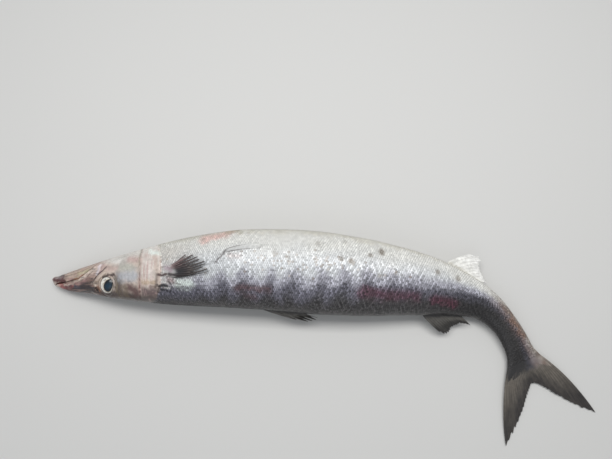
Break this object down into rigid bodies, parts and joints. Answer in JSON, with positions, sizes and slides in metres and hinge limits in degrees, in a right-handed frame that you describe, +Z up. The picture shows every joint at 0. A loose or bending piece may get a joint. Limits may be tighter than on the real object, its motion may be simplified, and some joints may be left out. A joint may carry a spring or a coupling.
{
  "type": "barracuda",
  "caption": "Slender long-snouted fish lying on its left side, gently arched, mouth closed, tail bent towards the back.",
  "frame": {"origin": "on the floor, under the middle of the whole fish", "axes": "+Z up from the floor towards the right flank, head towards -X, tail towards +X, belly towards +Y and back towards -Y"},
  "size_m": [0.7086, 0.2735, 0.0769],
  "materials": {
    "head_skin": "wet skin, dark olive-brown snout and crown, cream and pink cheeks",
    "jaw_skin": "wet tan and pink skin, purple-grey tip",
    "gill_cover": "wet silvery bone and skin with cream and pink bands",
    "eye": "clear wet cornea over a cream ring and dark blue pupil",
    "body_scales": "wet silvery scales, white belly, dark barred back",
    "dark_fin": "damp dark membrane over rays",
    "pale_fin": "damp cream-white membrane over rays",
    "tail_fin": "damp charcoal membrane over rays, pale at the root"
  },
  "bodies": {
    "root": {"head": "head_skin", "lower_jaw": "jaw_skin", "gill_cover_right": "gill_cover", "gill_cover_left": "gill_cover", "eye_right": "eye", "eye_left": "eye", "trunk": "body_scales", "peduncle": "body_scales", "tail_stock": "body_scales", "first_dorsal_fin": "dark_fin", "second_dorsal_fin": "dark_fin", "anal_fin": "pale_fin", "caudal_fin": "tail_fin", "pectoral_fin_right": "dark_fin", "pectoral_fin_left": "dark_fin", "pelvic_fin_right": "pale_fin", "pelvic_fin_left": "pale_fin"}
  },
  "joints": []
}
